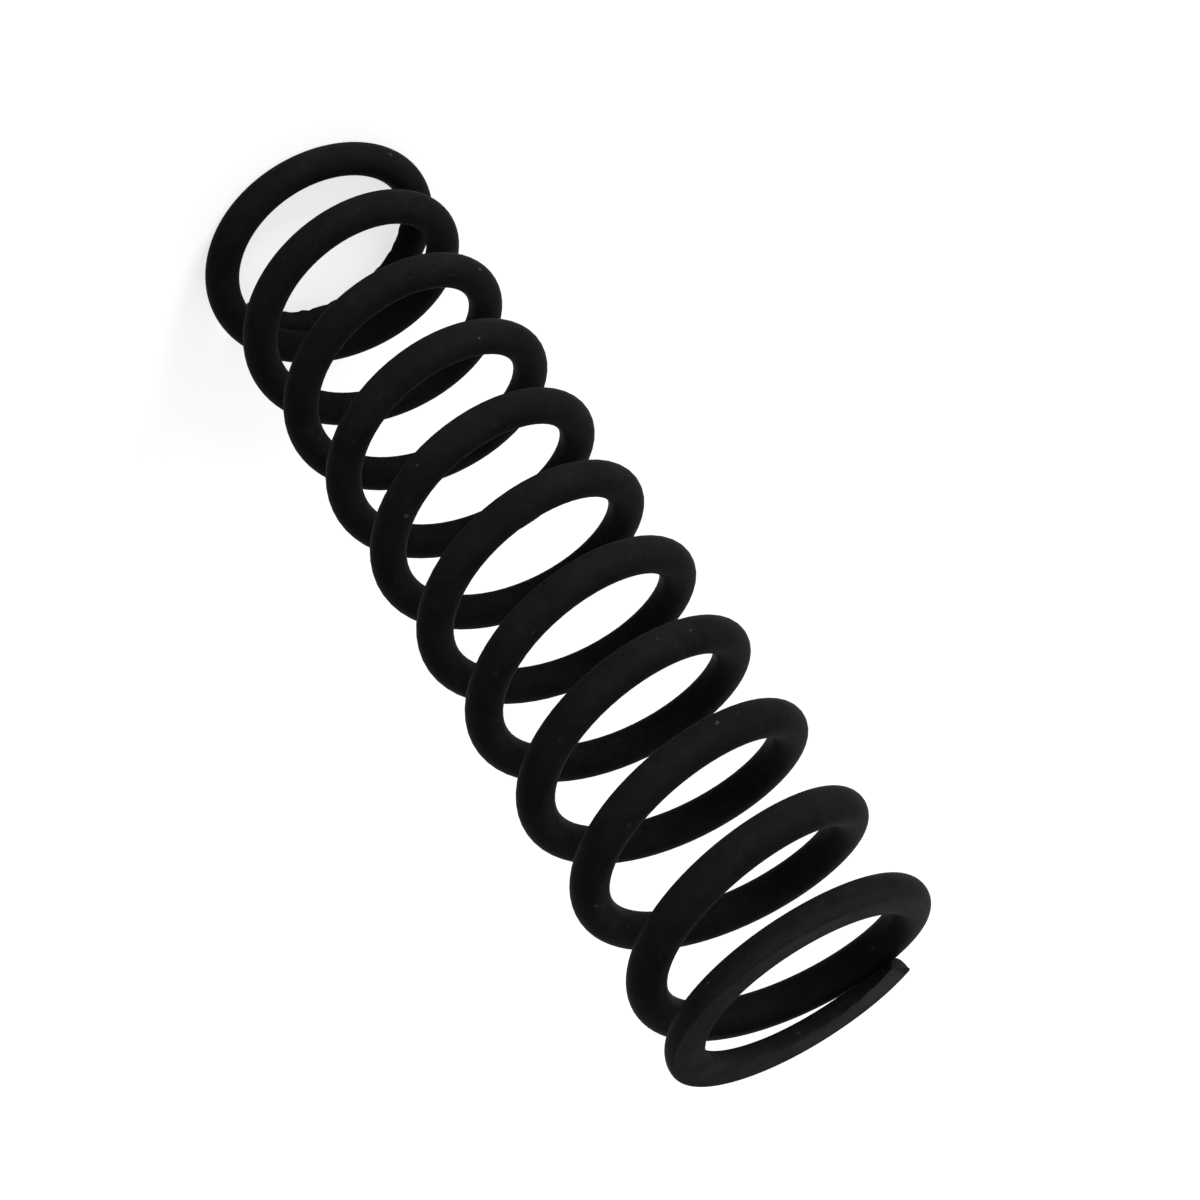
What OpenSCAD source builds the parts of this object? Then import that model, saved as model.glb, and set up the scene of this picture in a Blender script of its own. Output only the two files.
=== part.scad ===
// Tensioner spring: one round wire wound right-hand into an open coil.
// Each end closes onto the turn beside it and is ground flat.
// The spring stands on its lower ground end, with the axis of the coil on Z.

/* [Wire] */
// Diameter of the round wire
wire_d = 2.0; // [1.4:0.1:2.4]

/* [Coil] */
// Diameter of the coil, from middle to middle of the wire
coil_d = 13.2; // [9:0.1:20]
// Rise of one open turn
pitch = 5.7; // [3.6:0.1:8]
// Turns from tip to tip
turns = 11.3; // [5:0.1:13.5]
// Angle round the axis at which the lower tip lies
start_angle = 0; // [0:5:355]

/* [Closed and ground ends] */
// Turns from each tip that keep the small rise of a closed end
closed_turns = 0.5; // [0.3:0.05:0.7]
// Turns over which the rise then grows to that of an open turn
opening_turns = 0.6; // [0.4:0.05:1]
// Rise that a full turn would have in the closed part
closed_pitch = 0.65; // [0.3:0.05:1]
// Air between a tip and the turn that it closes onto
tip_air = 0.05; // [0.02:0.01:0.3]
// Thickness of wire that grinding leaves at a tip
tip_left = 0.7; // [0.5:0.1:1.2]

/* [Hidden] */

SIDES = 12;
STEPS_PER_TURN = 36;
NUDGE = 0.001;
CORNER_BLEND = 0.1;

wire_r = wire_d / 2;
coil_r = coil_d / 2;
steps = ceil(turns * STEPS_PER_TURN);

// A polygon of this radius has the area of the wire's round section
section_r = wire_r * sqrt(PI / (SIDES / 2 * sin(360 / SIDES)));

// The lower of two values, with the corner where they cross rounded off
function soft_min(a, b) = (a + b - sqrt(pow(a - b, 2) + pow(CORNER_BLEND, 2))) / 2;

// Integral of a smooth step: level up to 0, curved up to 1, then a straight line
function eased(u) = u < 0 ? 0 : u < 1 ? pow(u, 3) - pow(u, 4) / 2 : u - 0.5;

// How far the wire has risen s turns in from a tip, before the turns are kept apart
function free_rise(s) =
    closed_pitch * s + (pitch - closed_pitch) * opening_turns * eased((s - closed_turns) / opening_turns);

// The same with the end turn resting against the turn beside it
function rise(s) = soft_min(free_rise(s), free_rise(s + 1) - wire_d - tip_air);

// Where the grinding plane lies on the scale of rise
ground_rise = rise(0) + wire_r - tip_left;
free_length = 2 * (rise(turns / 2) - ground_rise);

// Height of the wire's middle, t turns up from the lower tip; both ends are alike
function height(t) =
    t < turns / 2 ? rise(t) - ground_rise : free_length - rise(turns - t) + ground_rise;

function turned(t) = start_angle + 360 * t;
function outward(t) = [cos(turned(t)), sin(turned(t)), 0];
function middle(t) = coil_r * outward(t) + [0, 0, height(t)];

function along(t) =
    let (v = middle(t + NUDGE) - middle(t - NUDGE))
    v / norm(v);

// Points of the section that stands square across the wire
function section(t) =
    let (
        out = outward(t),
        up = cross(along(t), -out)
    )
    [for (k = [0:SIDES - 1])
        middle(t) + section_r * (cos(360 * k / SIDES) * out + sin(360 * k / SIDES) * up)];

// The wire as it comes off the coiler, before grinding
module wound_wire() {
    points = [for (i = [0:steps]) each section(turns * i / steps)];
    last = steps * SIDES;
    skin = [
        for (i = [0:steps - 1], k = [0:SIDES - 1])
            let (
                a = i * SIDES + k,
                b = i * SIDES + (k + 1) % SIDES
            )
            each [[a, b, a + SIDES], [b, b + SIDES, a + SIDES]]
    ];
    lower_cut = [for (k = [SIDES - 1:-1:0]) k];
    upper_cut = [for (k = [0:SIDES - 1]) last + k];
    polyhedron(points, concat(skin, [lower_cut, upper_cut]));
}

// What grinding takes off under the plane z = 0
module ground_away() {
    reach = coil_d + 2 * wire_d;
    depth = 2 * wire_d;
    translate([-reach / 2, -reach / 2, -depth])
        cube([reach, reach, depth]);
}

module spring() {
    color([0.09, 0.09, 0.1])
        difference() {
            wound_wire();
            ground_away();
            translate([0, 0, free_length])
                mirror([0, 0, 1])
                    ground_away();
        }
}

spring();
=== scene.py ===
import math

import bpy
from bpy.props import FloatProperty, FloatVectorProperty, IntProperty, PointerProperty
from bpy.types import Operator, Panel, PropertyGroup
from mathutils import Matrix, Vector


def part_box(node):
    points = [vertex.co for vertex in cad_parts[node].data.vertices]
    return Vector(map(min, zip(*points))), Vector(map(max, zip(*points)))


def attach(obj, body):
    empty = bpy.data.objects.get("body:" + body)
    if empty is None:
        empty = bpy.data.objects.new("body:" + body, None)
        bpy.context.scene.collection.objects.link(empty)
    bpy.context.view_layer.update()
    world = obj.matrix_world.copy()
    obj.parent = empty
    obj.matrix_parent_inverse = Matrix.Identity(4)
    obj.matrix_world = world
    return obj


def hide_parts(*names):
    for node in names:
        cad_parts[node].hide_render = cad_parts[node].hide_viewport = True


bl_info = {
    "name": "Tensioner Spring",
    "version": (1, 0, 0),
    "blender": (4, 5, 0),
    "location": "View3D > Sidebar > Spring",
    "description": "Models a coil spring of black wire with closed and ground ends",
    "category": "Object",
}

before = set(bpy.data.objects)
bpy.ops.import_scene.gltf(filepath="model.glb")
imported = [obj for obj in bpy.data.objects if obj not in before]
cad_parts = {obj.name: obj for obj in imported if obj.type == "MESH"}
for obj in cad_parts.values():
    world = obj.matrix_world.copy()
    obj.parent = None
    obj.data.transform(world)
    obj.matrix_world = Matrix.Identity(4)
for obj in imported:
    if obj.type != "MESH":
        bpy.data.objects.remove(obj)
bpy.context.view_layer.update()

MM = 0.001
NODE = "spring"
spring_low, spring_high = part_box(NODE)
BODY = "root"

# Each point's place on the straight wire, in millimetres, for the finish to follow
DRAWN_PLACE = "drawn_place"

# How much the wheel took off above each point, in millimetres, and less than zero where it took nothing
GROUND_OFF = "ground_off"

# Distance in millimetres at which two places count as one
NEAR = 0.001

# The inner edge of a ground face wanders over this part of a turn from the tip
TORN_TURNS = 0.5

# The wandering has its full strength after one over this of a turn
TORN_RISE = 14

# Angles that the two waves of the wandering edge run through in one turn
LONG_WAVE = 201
SHORT_WAVE = 330

# Edges between faces that meet at less than this angle are shaded smooth
SMOOTH_ANGLE = math.radians(50)


class SpringSizes(PropertyGroup):
    """Sizes of the spring: first those of the solid in the frame, then those of its finer detail"""

    wire_d: FloatProperty(
        name="Wire", description="Diameter of the round wire", default=2.0 * MM, unit="LENGTH"
    )
    coil_d: FloatProperty(
        name="Coil",
        description="Diameter of the coil, from middle to middle of the wire",
        default=13.2 * MM,
        unit="LENGTH",
    )
    pitch: FloatProperty(name="Pitch", description="Rise of one open turn", default=5.7 * MM, unit="LENGTH")
    turns: FloatProperty(name="Turns", description="Turns from tip to tip", default=11.3)
    closed_turns: FloatProperty(
        name="Closed turns",
        description="Turns from each tip that keep the small rise of a closed end",
        default=0.5,
    )
    opening_turns: FloatProperty(
        name="Opening turns",
        description="Turns over which the rise grows to that of an open turn",
        default=0.6,
    )
    closed_pitch: FloatProperty(
        name="Closed pitch",
        description="Rise that a full turn would have in the closed part",
        default=0.65 * MM,
        unit="LENGTH",
    )
    tip_air: FloatProperty(
        name="Air at a tip",
        description="Air between a tip and the turn that it closes onto",
        default=0.05 * MM,
        unit="LENGTH",
    )
    tip_left: FloatProperty(
        name="Left at a tip",
        description="Thickness of wire that grinding leaves at a tip",
        default=0.7 * MM,
        unit="LENGTH",
    )
    edge_round: FloatProperty(
        name="Edge rounding",
        description="Height of the soft edge round a ground face, before the next two values scale it",
        default=0.24 * MM,
        unit="LENGTH",
    )
    edge_at_tip: FloatProperty(
        name="Edge at a tip",
        description="Share of the edge rounding that a ground face has at the wire tip",
        default=0.7,
    )
    edge_growth: FloatProperty(
        name="Edge growth",
        description="How much that share grows over one turn away from the tip",
        default=0.9,
    )
    cut_round: FloatProperty(
        name="Cut rounding",
        description="Width of the rounding along the cut at a tip",
        default=0.05 * MM,
        unit="LENGTH",
    )
    cut_slant: FloatProperty(
        name="Cut slant",
        description="How much further a cut end reaches on its inner side than on its outer side",
        default=0.75 * MM,
        unit="LENGTH",
    )
    slant_reach: FloatProperty(
        name="Slant reach",
        description="Length of wire over which the slant of a cut dies away",
        default=3.0 * MM,
        unit="LENGTH",
    )
    cut_past: FloatProperty(
        name="Cut past tip",
        description="How far the outer side of a cut end lies past the tip of the solid",
        default=0.2 * MM,
        unit="LENGTH",
    )
    ragged: FloatProperty(
        name="Ragged edge",
        description="How far the inner edge of a ground face wanders near the tip, in wire radii",
        default=0.11,
    )
    sides: IntProperty(name="Sides", description="Faces round the wire", default=96)
    rings_per_turn: IntProperty(
        name="Rings", description="Rings of the wire in one turn, on average", default=78
    )
    crowding: FloatProperty(
        name="Crowding",
        description="How much closer the rings lie at the ends, and how much further apart in the middle",
        default=0.45,
    )


class SpringFinish(PropertyGroup):
    """Colours, gloss and relief of the spring"""

    phosphate: FloatVectorProperty(
        name="Phosphate",
        description="Colour of the matte black phosphate",
        subtype="COLOR",
        default=(0.0092, 0.0089, 0.0085),
    )
    phosphate_worn: FloatVectorProperty(
        name="Thin phosphate",
        description="Colour where the phosphate is thin and the steel greys it",
        subtype="COLOR",
        default=(0.0162, 0.0157, 0.0148),
    )
    phosphate_cool: FloatVectorProperty(
        name="Cool patches",
        description="Colour of the patches with a cooler tone",
        subtype="COLOR",
        default=(0.0108, 0.0112, 0.0115),
    )
    ground_face: FloatVectorProperty(
        name="Ground face",
        description="Colour of the ground end faces",
        subtype="COLOR",
        default=(0.0062, 0.0060, 0.0057),
    )
    # Also the colour of the painted light that makes the ground faces paler towards the -X side
    ground_face_worn_and_lit: FloatVectorProperty(
        name="Thin on the ground face",
        description="Colour of the ground faces where the phosphate is thin",
        subtype="COLOR",
        default=(0.0152, 0.0147, 0.0139),
    )
    rubbed_edge: FloatVectorProperty(
        name="Rubbed edge",
        description="Colour of the edges where they are rubbed",
        subtype="COLOR",
        default=(0.027, 0.0258, 0.0238),
    )
    dust: FloatVectorProperty(
        name="Dust", description="Colour of the dust specks", subtype="COLOR", default=(0.10, 0.096, 0.088)
    )
    gloss: FloatProperty(name="Gloss", description="Strength of the sheen of the phosphate", default=0.0052)
    ground_gloss: FloatProperty(
        name="Ground gloss",
        description="Strength of the sheen of a ground face where the phosphate is thin",
        default=0.0100,
    )
    roughness: FloatProperty(name="Roughness", description="Roughness of the phosphate", default=0.52)
    # This turn also sets the direction in which the painted light runs across the ground faces
    wheel_turn: FloatProperty(
        name="Wheel turn",
        description="How far the wheel's marks are turned from the X axis, clockwise from above",
        default=math.radians(15),
        unit="ROTATION",
    )
    # Painted light: how far the ground faces are painted paler towards the -X side, where the key lamp
    # stands, standing in for the light falling there
    painted_light_side: FloatProperty(
        name="Pale side",
        description="How thin the phosphate of a ground face gets towards its paler side",
        default=0.53,
    )
    rubbed_shoulder: FloatProperty(
        name="Rubbed shoulder",
        description="Share of the rubbed colour on the outside of an end turn, beside its ground face",
        default=0.31,
    )
    relief_depth: FloatProperty(
        name="Relief", description="Depth of the grain and the lines", default=0.012 * MM, unit="LENGTH"
    )


class SpringStage(PropertyGroup):
    """Camera, lamps and floor"""

    camera_place: FloatVectorProperty(
        name="Camera place",
        description="Where the camera stands",
        subtype="TRANSLATION",
        default=(-36.642 * MM, -95.585 * MM, 90.677 * MM),
    )
    camera_turn: FloatVectorProperty(
        name="Camera turn",
        description="How the camera is turned",
        subtype="EULER",
        default=(math.radians(-55.390), math.radians(-28.831), math.radians(141.859)),
    )
    camera_lens: FloatProperty(name="Lens", description="Focal length in millimetres", default=66.05)
    floor_r: FloatProperty(name="Floor", description="Radius of the floor", default=3.0, unit="LENGTH")
    floor_colour: FloatVectorProperty(
        name="Floor colour", description="Colour of the floor", subtype="COLOR", default=(0.86, 0.86, 0.86)
    )
    floor_lift: FloatProperty(
        name="Floor lift",
        description="White that the camera sees on the floor besides the light that falls on it",
        default=0.7,
    )
    far_lift: FloatProperty(
        name="Far floor lift",
        description="The same a metre away, where less light falls",
        default=0.78,
    )
    lift_start: FloatProperty(
        name="Lift start",
        description="Distance from the axis at which the floor's lift starts to grow to the far one",
        default=0.1,
        unit="LENGTH",
    )
    sky: FloatProperty(name="Sky", description="Strength of the light from all round", default=0.3)
    key_power: FloatProperty(
        name="Key lamp", description="Power of the key lamp", default=13.4, unit="POWER"
    )
    key_place: FloatVectorProperty(
        name="Key place",
        description="Where the key lamp stands, from the middle of the spring",
        subtype="TRANSLATION",
        default=(-1.29, -0.46, 0.23),
    )
    key_size: FloatProperty(
        name="Key size", description="Side of the key lamp", default=0.42, unit="LENGTH"
    )
    fill_power: FloatProperty(
        name="Fill lamp", description="Power of the fill lamp", default=0.8, unit="POWER"
    )
    fill_place: FloatVectorProperty(
        name="Fill place",
        description="Where the fill lamp stands, from the middle of the spring",
        subtype="TRANSLATION",
        default=(0.25, 0.80, 0.35),
    )
    fill_size: FloatProperty(
        name="Fill size", description="Side of the fill lamp", default=0.45, unit="LENGTH"
    )


def clean_start():
    """Leaves edit mode and takes every object out of the selection"""
    if bpy.context.object and bpy.context.object.mode != "OBJECT":
        bpy.ops.object.mode_set(mode="OBJECT")
    bpy.ops.object.select_all(action="DESELECT")


def active(piece):
    """Makes piece the only selected object, and the active one"""
    clean_start()
    piece.select_set(True)
    bpy.context.view_layer.objects.active = piece


def eased(u):
    """Integral of a smooth step: level up to 0, curved up to 1, then a straight line"""
    if u < 0:
        return 0.0
    return u**3 - u**4 / 2 if u < 1 else u - 0.5


class Coil:
    """Where the middle of the wire runs, in millimetres, by the same rules as the solid in the frame"""

    # How softly the rise goes over from one rule to the other, in millimetres
    corner_blend = 0.1

    # Straight steps in one turn of the path
    path_steps = 360

    def __init__(self, sizes):
        self.turns = sizes.turns
        self.wire_d = sizes.wire_d / MM
        self.coil_r = sizes.coil_d / MM / 2
        self.pitch = sizes.pitch / MM
        self.closed_pitch = sizes.closed_pitch / MM
        self.closed_turns = sizes.closed_turns
        self.opening_turns = sizes.opening_turns
        self.tip_air = sizes.tip_air / MM
        self.cut_slant = sizes.cut_slant / MM
        self.slant_reach = sizes.slant_reach / MM
        self.lead = (self.cut_slant + sizes.cut_past / MM) / (math.tau * self.coil_r)
        self.drawn_turns = self.turns + 2 * self.lead
        self.ground_rise = self.rise(0) + self.wire_d / 2 - sizes.tip_left / MM
        self.free_length = 2 * (self.rise(self.turns / 2) - self.ground_rise)

    def free_rise(self, s):
        """Rise s turns in from a tip, before the turns are kept apart"""
        growth = (self.pitch - self.closed_pitch) * self.opening_turns
        return self.closed_pitch * s + growth * eased((s - self.closed_turns) / self.opening_turns)

    def rise(self, s):
        """The same with the end turn resting against the turn beside it"""
        a = self.free_rise(s)
        b = self.free_rise(s + 1) - self.wire_d - self.tip_air
        return (a + b - math.hypot(a - b, self.corner_blend)) / 2

    def height(self, t):
        """Height t turns up from the lower tip; both ends are alike"""
        if t < self.turns / 2:
            return self.rise(t) - self.ground_rise
        return self.free_length - self.rise(self.turns - t) + self.ground_rise

    def middle(self, t):
        """Point in the middle of the wire, t turns up from the lower tip"""
        angle = math.tau * t
        return Vector((self.coil_r * math.cos(angle), self.coil_r * math.sin(angle), self.height(t)))


def coil_path(coil):
    """The line that the wire is coiled along, with a lead past each tip for the slant of the cuts"""
    steps = math.ceil(coil.drawn_turns * coil.path_steps)
    path = bpy.data.curves.new("coil_path", "CURVE")
    path.dimensions = "3D"
    path.twist_mode = "Z_UP"
    line = path.splines.new("POLY")
    line.points.add(steps)
    for i in range(steps + 1):
        line.points[i].co = (*coil.middle(coil.drawn_turns * i / steps - coil.lead), 1)
    guide = bpy.data.objects.new("coil_path", path)
    bpy.context.scene.collection.objects.link(guide)
    return guide, line.calc_length()


def drawn_wire(coil, sizes, length):
    """A straight wire along X, with a cut face at each end"""
    clean_start()
    bpy.ops.mesh.primitive_circle_add(
        vertices=sizes.sides, radius=coil.wire_d / 2, rotation=(0, math.pi / 2, 0)
    )
    wire = bpy.context.object
    wire.name = "coiled_wire"
    bpy.ops.object.transform_apply(rotation=True)
    draw = wire.modifiers.new("draw", "SCREW")
    draw.axis = "X"
    draw.angle = 0
    draw.screw_offset = length
    draw.steps = draw.render_steps = math.ceil(coil.drawn_turns * sizes.rings_per_turn)
    bpy.ops.object.modifier_apply(modifier=draw.name)
    for vertex in wire.data.vertices:
        wave = math.sin(math.tau * vertex.co.x / length) / math.tau
        vertex.co.x -= sizes.crowding * length * wave
    for end in (0, length):
        cut_end(wire, end, sizes.cut_round / MM)
    return wire


def cut_end(wire, end, cut_round):
    """Fills the open ring of the straight wire at x = end, and rounds its edge"""
    for vertex in wire.data.vertices:
        vertex.select = abs(vertex.co.x - end) < NEAR
    bpy.ops.object.mode_set(mode="EDIT")
    bpy.ops.mesh.select_mode(type="VERT")
    bpy.ops.mesh.edge_face_add()
    bpy.ops.mesh.bevel(offset=cut_round, segments=2, affect="EDGES")
    bpy.ops.mesh.select_all(action="DESELECT")
    bpy.ops.object.mode_set(mode="OBJECT")


def keep_drawn_place(wire):
    """Keeps each point's place on the straight wire for the finish to follow"""
    places = wire.data.attributes.new(DRAWN_PLACE, "FLOAT_VECTOR", "POINT")
    for vertex, place in zip(wire.data.vertices, places.data):
        place.vector = vertex.co


def slanted(place, coil, length):
    """How far along the wire a place lies once the cuts are slanted, set back most on the outer side"""
    set_back = coil.cut_slant * (0.5 - place.y / coil.wire_d)
    lower = max(0, 1 - place.x / coil.slant_reach)
    upper = max(0, 1 - (length - place.x) / coil.slant_reach)
    return place.x + set_back * (lower - upper)


def slant_cuts(wire, coil, length):
    """Slants both cut ends of the straight wire"""
    for vertex in wire.data.vertices:
        vertex.co.x = slanted(vertex.co, coil, length)


def grind(wire, coil, sizes, length):
    """Takes both ends down to their ground planes, with a soft edge all round

    The wire's own faces are pressed into the plane, because a bevel along a bisected edge
    can be no wider than the faces beside it.
    """
    corner = sizes.cut_round / MM
    wire_r = coil.wire_d / 2
    wire.data.attributes.new(GROUND_OFF, "FLOAT", "POINT")
    places = wire.data.attributes[DRAWN_PLACE].data
    taken = wire.data.attributes[GROUND_OFF].data
    for vertex, place, off in zip(wire.data.vertices, places, taken):
        lower = place.vector.x < length / 2
        from_cut = max(0, place.vector.x if lower else length - place.vector.x)
        along = slanted(place.vector, coil, length)
        from_tip = coil.drawn_turns * (along if lower else length - along) / length - coil.lead
        soft = sizes.edge_round / MM * (sizes.edge_at_tip + sizes.edge_growth * from_tip)
        plane = max(0, corner - from_cut) ** 2 / corner
        past = plane + (-vertex.co.z if lower else vertex.co.z - coil.free_length)
        off.value = max(past, -1)
        if past < -2 * soft:
            continue
        radius = math.hypot(vertex.co.x, vertex.co.y)
        aside = radius - coil.coil_r
        middle = coil.height(from_tip)
        if middle < 0 < past:
            aside = drawn_in(aside, past, middle, wire_r)
        if aside < 0:
            aside *= 1 + sizes.ragged * torn(from_tip) * min(1, 1 + past / (2 * soft))
        height = plane - pressed(past, soft)
        vertex.co.x *= (coil.coil_r + aside) / radius
        vertex.co.y *= (coil.coil_r + aside) / radius
        vertex.co.z = height if lower else coil.free_length - height


def drawn_in(aside, past, middle, wire_r):
    """Where a point past the plane goes when the wire's middle is past it too

    The wire is at its widest there, so its points are spread over the narrower cut.
    """
    cut_angle = math.acos(middle / wire_r)
    angle = math.atan2(aside, past + middle)
    return wire_r * math.sin(cut_angle) * math.sin(angle / cut_angle * math.pi / 2)


def pressed(past, soft):
    """How far past the plane a point still stands: nowhere, with a soft bend on the way there"""
    if abs(past) < soft:
        return min(past, 0) - (soft - abs(past)) ** 2 / (4 * soft)
    return min(past, 0)


def torn(from_tip):
    """Wave of the inner edge, strongest near the tip and gone half a turn from it"""
    rising = min(1, TORN_RISE * max(0, from_tip))
    fading = max(0, 1 - from_tip / TORN_TURNS)
    long_wave = 0.6 * math.sin(LONG_WAVE * from_tip + 1)
    short_wave = 0.4 * math.sin(SHORT_WAVE * from_tip)
    return rising * fading * (long_wave + short_wave)


def build_wire(sizes, finish):
    """The whole spring: drawn, coiled, ground and finished"""
    coil = Coil(sizes)
    guide, length = coil_path(coil)
    wire = drawn_wire(coil, sizes, length)
    keep_drawn_place(wire)
    slant_cuts(wire, coil, length)
    winding = wire.modifiers.new("wind", "CURVE")
    winding.object = guide
    winding.deform_axis = "POS_X"
    active(wire)
    bpy.ops.object.modifier_apply(modifier=winding.name)
    bpy.data.objects.remove(guide)
    grind(wire, coil, sizes, length)
    active(wire)
    bpy.ops.object.mode_set(mode="EDIT")
    bpy.ops.mesh.select_all(action="SELECT")
    bpy.ops.mesh.normals_make_consistent(inside=False)
    bpy.ops.mesh.select_all(action="DESELECT")
    bpy.ops.object.mode_set(mode="OBJECT")
    wire.data.materials.append(wire_finish(finish))
    wire.scale = (MM, MM, MM)
    bpy.ops.object.transform_apply(scale=True)
    bpy.ops.object.shade_smooth_by_angle(angle=SMOOTH_ANGLE)
    return wire


class Tree:
    """The nodes of one material"""

    def __init__(self, name):
        self.material = bpy.data.materials.new(name)
        self.material.use_nodes = True
        self.nodes = self.material.node_tree.nodes
        self.links = self.material.node_tree.links
        self.shader = self.nodes["Principled BSDF"]

    def put(self, socket, value):
        """Joins value to the socket if it is a socket itself, or else sets it there"""
        if isinstance(value, bpy.types.NodeSocket):
            self.links.new(value, socket)
        else:
            socket.default_value = value

    def add(self, kind, values, **settings):
        """A node with its settings, and with its inputs set or joined"""
        node = self.nodes.new("ShaderNode" + kind)
        for name, value in settings.items():
            setattr(node, name, value)
        for name, value in values.items():
            self.put(node.inputs[name], value)
        return node

    def stretched(self, place, scale, turn=(0, 0, 0)):
        """Places scaled along each axis, then turned"""
        values = {"Vector": place, "Scale": scale, "Rotation": turn}
        return self.add("Mapping", values, vector_type="POINT").outputs["Vector"]

    def noise(self, place, scale, detail=2.0, roughness=0.5):
        """Soft noise whose features are about one over scale across"""
        values = {"Vector": place, "Scale": scale, "Detail": detail, "Roughness": roughness}
        return self.add("TexNoise", values).outputs["Fac"]

    def ramp(self, value, low, high, least=0.0, most=1.0):
        """A smooth rise from least to most as value goes from low to high"""
        values = {"Value": value, "From Min": low, "From Max": high, "To Min": least, "To Max": most}
        return self.add("MapRange", values, interpolation_type="SMOOTHSTEP").outputs["Result"]

    def times(self, a, b):
        """One value times another"""
        return self.add("Math", {0: a, 1: b}, operation="MULTIPLY").outputs[0]

    def plus(self, a, b):
        """One value and another"""
        return self.add("Math", {0: a, 1: b}, operation="ADD").outputs[0]

    def blend(self, factor, a, b):
        """From colour a to colour b"""
        node = self.add("Mix", {"Factor": factor}, data_type="RGBA")
        self.put(node.inputs[6], a if isinstance(a, bpy.types.NodeSocket) else (*a, 1))
        self.put(node.inputs[7], b if isinstance(b, bpy.types.NodeSocket) else (*b, 1))
        return node.outputs[2]

    def attribute(self, name, output):
        """A value that the mesh keeps at each point"""
        return self.add("Attribute", {}, attribute_name=name).outputs[output]

    def mix(self, factor, a, b):
        """From value a to value b"""
        values = {"Factor": factor, "A": a, "B": b}
        return self.add("Mix", values, data_type="FLOAT").outputs["Result"]

    def relief(self, height, depth):
        """Bump of the given depth"""
        values = {"Height": height, "Strength": 1.0, "Distance": depth}
        self.put(self.shader.inputs["Normal"], self.add("Bump", values).outputs["Normal"])


def specks(tree, place, per_mm, radius):
    """Specks of uneven size and strength, strewn over the surface"""
    shake = tree.add("TexNoise", {"Vector": place, "Scale": 7.0, "Detail": 1.0}).outputs["Color"]
    offset = tree.add("VectorMath", {0: shake, 1: (0.3, 0.3, 0.3)}, operation="MULTIPLY").outputs[0]
    ragged = tree.add("VectorMath", {0: place, 1: offset}, operation="ADD").outputs[0]
    values = {"Vector": ragged, "Scale": per_mm, "Randomness": 1.0}
    cells = tree.add("TexVoronoi", values, feature="F1")
    chance = tree.add("SeparateColor", {"Color": cells.outputs["Color"]})
    size = tree.ramp(chance.outputs["Red"], 0.0, 1.0, 0.3, 1.0)
    shape = tree.add("Math", {0: cells.outputs["Distance"], 1: size}, operation="DIVIDE").outputs[0]
    speck = tree.ramp(shape, radius * per_mm, radius * per_mm * 0.4)
    return tree.times(speck, tree.ramp(chance.outputs["Green"], 0.1, 1.0, 0.08, 0.9))


def phosphate(tree, finish, place):
    """Colour and relief of the matte black phosphate, with faint drawing lines"""
    clouds = tree.noise(place, 0.4, 4.0, 0.6)
    blots = tree.noise(place, 1.6, 3.0, 0.6)
    grain = tree.noise(place, 12.0, 3.0, 0.7)
    lines = tree.noise(tree.stretched(place, (0.3, 8.0, 8.0)), 1.0, 2.0)
    thin = tree.plus(tree.ramp(clouds, 0.38, 0.66, 0.05, 0.65), tree.ramp(blots, 0.4, 0.7, 0.0, 0.3))
    thin = tree.times(thin, tree.ramp(grain, 0.25, 0.75, 0.6, 1.0))
    colour = tree.blend(thin, finish.phosphate, finish.phosphate_worn)
    colour = tree.blend(tree.ramp(lines, 0.55, 0.8, 0.0, 0.4), colour, finish.phosphate_worn)
    patches = tree.ramp(tree.noise(place, 0.9, 2.0), 0.45, 0.7, 0.0, 0.6)
    colour = tree.blend(patches, colour, finish.phosphate_cool)
    return colour, tree.plus(tree.times(grain, 0.6), tree.times(lines, 0.5))


def ground_steel(tree, finish):
    """Colour, gloss and relief of the ground faces, with painted light that makes them paler and glossier
    towards the -X side, patches of thin phosphate and wheel marks
    """
    place = tree.add("TexCoord", {}).outputs["Object"]
    across = tree.stretched(place, (1 / MM, 1 / MM, 1 / MM), (0, 0, finish.wheel_turn))
    marks = tree.noise(tree.stretched(across, (0.35, 20.0, 1.0)), 1.0, 3.0, 0.6)
    clouds = tree.noise(across, 0.7, 4.0, 0.6)
    grain = tree.noise(across, 12.0, 3.0, 0.7)
    side = tree.add("SeparateXYZ", {"Vector": across}).outputs["X"]
    # Painted light: the ground faces get paler towards the -X side, where the key lamp stands, and glossier
    # through the gloss ramp below; the clouds and wheel marks added next are thin phosphate
    thin = tree.ramp(side, spring_high.x / MM, spring_low.x / MM, 0.0, finish.painted_light_side)
    thin = tree.plus(thin, tree.ramp(clouds, 0.35, 0.7, 0.0, 0.3))
    thin = tree.plus(thin, tree.ramp(marks, 0.5, 0.8, 0.0, 0.2))
    colour = tree.blend(thin, finish.ground_face, finish.ground_face_worn_and_lit)
    colour = tree.blend(tree.ramp(grain, 0.4, 0.7, 0.0, 0.3), colour, finish.phosphate)
    gloss = tree.ramp(thin, 0.0, 1.0, 0.6 * finish.gloss, finish.ground_gloss)
    return colour, gloss, tree.times(tree.plus(marks, tree.times(grain, 0.4)), 0.6)


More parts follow.
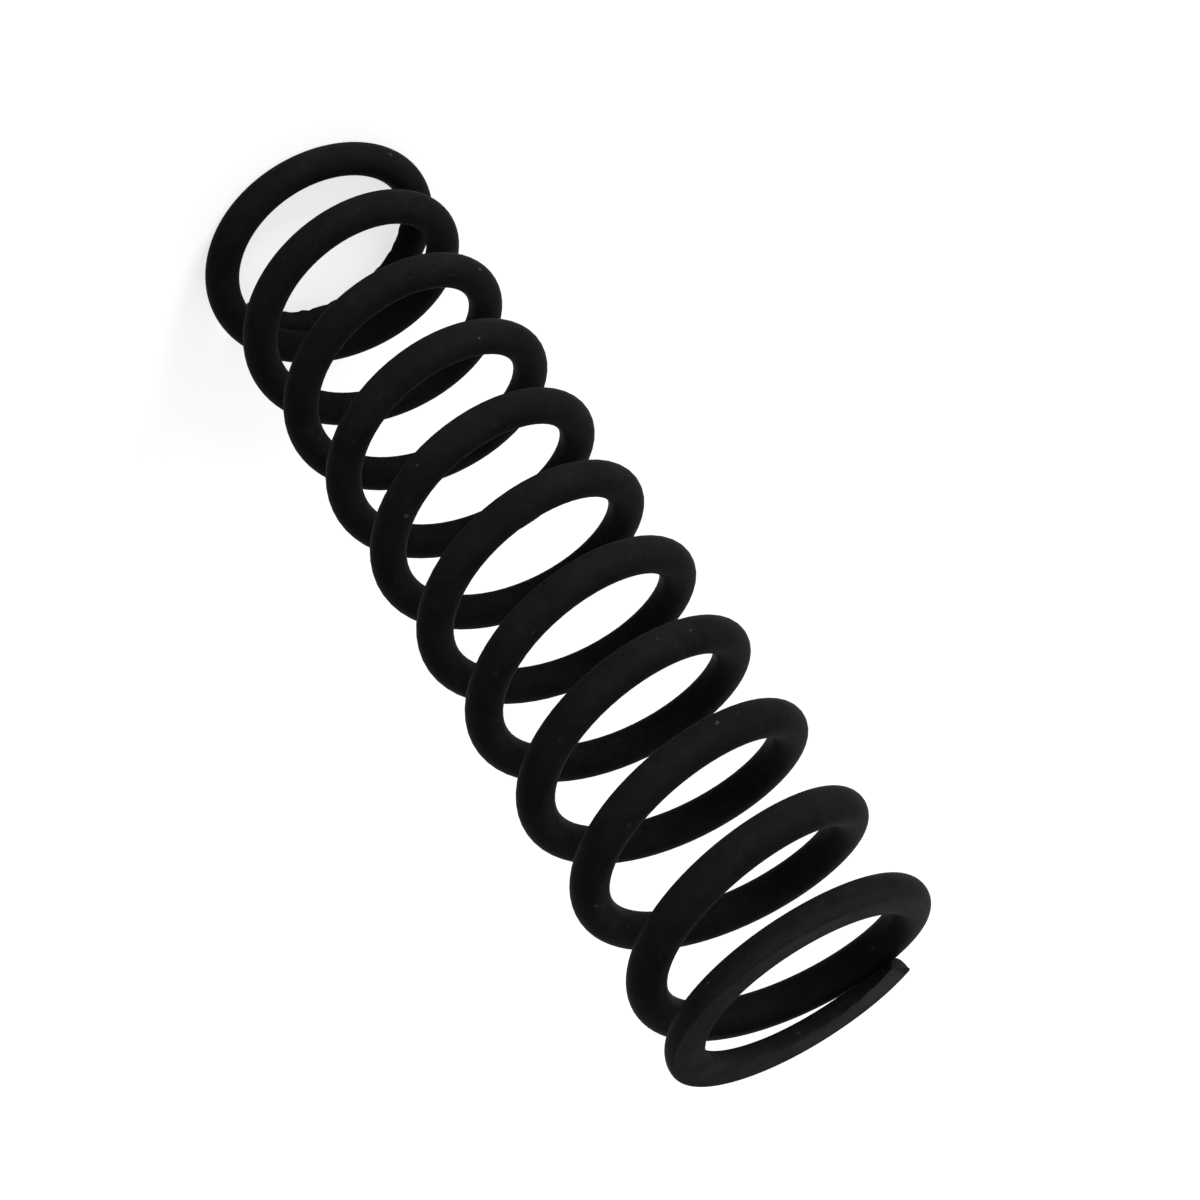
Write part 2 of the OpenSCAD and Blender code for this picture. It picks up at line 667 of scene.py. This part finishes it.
def wire_finish(finish):
    """The finish of the whole wire: phosphate that turns into ground faces, under a little dust"""
    tree = Tree("black_phosphate")
    place = tree.attribute(DRAWN_PLACE, "Vector")
    off = tree.attribute(GROUND_OFF, "Fac")
    ground = tree.ramp(off, 0.0, 0.4)
    colour, relief = phosphate(tree, finish, place)
    outside = tree.ramp(tree.add("SeparateXYZ", {"Vector": place}).outputs["Y"], 0.3, -0.5)
    shoulder = tree.times(outside, tree.ramp(off, -0.7, -0.1, 0.0, finish.rubbed_shoulder))
    colour = tree.blend(shoulder, colour, finish.rubbed_edge)
    gloss = tree.mix(shoulder, finish.gloss, finish.ground_gloss)
    ground_colour, ground_gloss, ground_relief = ground_steel(tree, finish)
    colour = tree.blend(ground, colour, ground_colour)
    edge = tree.times(tree.ramp(off, -0.2, -0.02), tree.ramp(off, 0.3, 0.05))
    rubbed = tree.times(edge, tree.ramp(tree.noise(place, 1.3, 4.0, 0.7), 0.44, 0.68, 0.05, 0.6))
    colour = tree.blend(rubbed, colour, finish.rubbed_edge)
    drawn_out = tree.stretched(place, (0.5, 1.0, 1.0))
    dust = tree.plus(specks(tree, place, 0.52, 0.16), tree.times(specks(tree, drawn_out, 1.3, 0.08), 0.6))
    smears = tree.noise(tree.stretched(place, (1.0, 3.4, 3.4)), 1.0, 4.0, 0.75)
    film = tree.times(tree.ramp(smears, 0.6, 0.78), 0.2)
    colour = tree.blend(tree.plus(dust, film), colour, finish.dust)
    tree.put(tree.shader.inputs["Base Color"], colour)
    tree.shader.inputs["Roughness"].default_value = finish.roughness
    tree.put(tree.shader.inputs["Specular IOR Level"], tree.mix(ground, gloss, ground_gloss))
    tree.relief(tree.plus(tree.mix(ground, relief, ground_relief), dust), finish.relief_depth)
    return tree.material


def seen_directly(nodes, links):
    """One for what is seen straight, in a reflection or through glass, and zero for all other light"""
    path = nodes.new("ShaderNodeLightPath")
    seen = path.outputs["Is Camera Ray"]
    for ray in ("Is Glossy Ray", "Is Transmission Ray"):
        either = nodes.new("ShaderNodeMath")
        either.operation = "MAXIMUM"
        links.new(seen, either.inputs[0])
        links.new(path.outputs[ray], either.inputs[1])
        seen = either.outputs[0]
    return seen


def floor_finish(stage):
    """Pale floor that takes the shadow, with some white of its own for the camera"""
    material = bpy.data.materials.new("pale_floor")
    material.use_nodes = True
    nodes, links = material.node_tree.nodes, material.node_tree.links
    shader = nodes["Principled BSDF"]
    shader.inputs["Base Color"].default_value = (*stage.floor_colour, 1)
    shader.inputs["Roughness"].default_value = 0.9
    shader.inputs["Specular IOR Level"].default_value = 0
    away = nodes.new("ShaderNodeVectorMath")
    away.operation = "LENGTH"
    links.new(nodes.new("ShaderNodeTexCoord").outputs["Object"], away.inputs[0])
    white = nodes.new("ShaderNodeMapRange")
    links.new(away.outputs["Value"], white.inputs["Value"])
    values = {"From Min": stage.lift_start, "To Min": stage.floor_lift, "To Max": stage.far_lift}
    for name, value in values.items():
        white.inputs[name].default_value = value
    lift = nodes.new("ShaderNodeMath")
    lift.operation = "MULTIPLY"
    links.new(white.outputs["Result"], lift.inputs[1])
    links.new(seen_directly(nodes, links), lift.inputs[0])
    links.new(lift.outputs[0], shader.inputs["Emission Strength"])
    shader.inputs["Emission Color"].default_value = (1, 1, 1, 1)
    return material


def build_floor(stage):
    """A round floor under the spring"""
    clean_start()
    bpy.ops.mesh.primitive_circle_add(vertices=96, radius=stage.floor_r, fill_type="NGON")
    floor = bpy.context.object
    floor.name = "floor"
    floor.data.materials.append(floor_finish(stage))


def build_sky(stage):
    """Even light from all round, white to the camera"""
    world = bpy.data.worlds.new("pale_sky")
    bpy.context.scene.world = world
    world.use_nodes = True
    nodes, links = world.node_tree.nodes, world.node_tree.links
    sky = nodes["Background"]
    strength = nodes.new("ShaderNodeMix")
    strength.data_type = "FLOAT"
    links.new(seen_directly(nodes, links), strength.inputs["Factor"])
    strength.inputs["A"].default_value = stage.sky
    strength.inputs["B"].default_value = 1
    links.new(strength.outputs["Result"], sky.inputs["Strength"])
    sky.inputs["Color"].default_value = (1, 1, 1, 1)


def aimed_lamp(name, place, target, size, power):
    """A square area lamp that looks at target"""
    light = bpy.data.lights.new(name, "AREA")
    light.size = size
    light.energy = power
    lamp = bpy.data.objects.new(name, light)
    lamp.visible_camera = False
    lamp.location = place
    lamp.rotation_euler = (Vector(target) - Vector(place)).to_track_quat("-Z", "Y").to_euler()
    bpy.context.scene.collection.objects.link(lamp)


def build_lamps(stage):
    """A low key lamp on one side, and a weak lamp behind"""
    middle = (spring_low + spring_high) / 2
    aimed_lamp("key_lamp", middle + Vector(stage.key_place), middle, stage.key_size, stage.key_power)
    aimed_lamp("fill_lamp", middle + Vector(stage.fill_place), middle, stage.fill_size, stage.fill_power)


def build_camera(stage):
    """The camera at the photograph's angle"""
    view = bpy.data.cameras.new("camera")
    view.lens = stage.camera_lens
    view.clip_start = 0.01
    view.clip_end = 20
    camera = bpy.data.objects.new("camera", view)
    camera.location = stage.camera_place
    camera.rotation_euler = stage.camera_turn
    bpy.context.scene.collection.objects.link(camera)
    bpy.context.scene.camera = camera


class SPRING_OT_wire(Operator):
    """Draw the wire, coil it, grind its ends and give it its finish"""

    bl_idname = "spring.wire"
    bl_label = "Coiled Wire"

    def execute(self, context):
        wire = build_wire(context.scene.spring_sizes, context.scene.spring_finish)
        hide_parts(NODE)
        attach(wire, BODY)
        return {"FINISHED"}


class SPRING_OT_stage(Operator):
    """Set up the floor, the light and the camera"""

    bl_idname = "spring.stage"
    bl_label = "Stage"

    def execute(self, context):
        stage = context.scene.spring_stage
        build_floor(stage)
        build_sky(stage)
        build_lamps(stage)
        build_camera(stage)
        context.scene.view_settings.view_transform = "Standard"
        return {"FINISHED"}


class SPRING_PT_panel(Panel):
    """Lists the sizes and the steps"""

    bl_label = "Spring"
    bl_idname = "SPRING_PT_panel"
    bl_space_type = "VIEW_3D"
    bl_region_type = "UI"
    bl_category = "Spring"

    def draw(self, context):
        scene = context.scene
        for group in (scene.spring_sizes, scene.spring_finish, scene.spring_stage):
            box = self.layout.box()
            for name in group.__annotations__:
                box.prop(group, name)
        for operator in (SPRING_OT_wire, SPRING_OT_stage):
            self.layout.operator(operator.bl_idname)


CLASSES = (SpringSizes, SpringFinish, SpringStage, SPRING_OT_wire, SPRING_OT_stage, SPRING_PT_panel)


def register():
    for cls in CLASSES:
        bpy.utils.register_class(cls)
    bpy.types.Scene.spring_sizes = PointerProperty(type=SpringSizes)
    bpy.types.Scene.spring_finish = PointerProperty(type=SpringFinish)
    bpy.types.Scene.spring_stage = PointerProperty(type=SpringStage)


def unregister():
    del bpy.types.Scene.spring_stage
    del bpy.types.Scene.spring_finish
    del bpy.types.Scene.spring_sizes
    for cls in reversed(CLASSES):
        bpy.utils.unregister_class(cls)


def main():
    register()
    bpy.ops.spring.wire()
    bpy.ops.spring.stage()


if __name__ == "__main__":
    main()
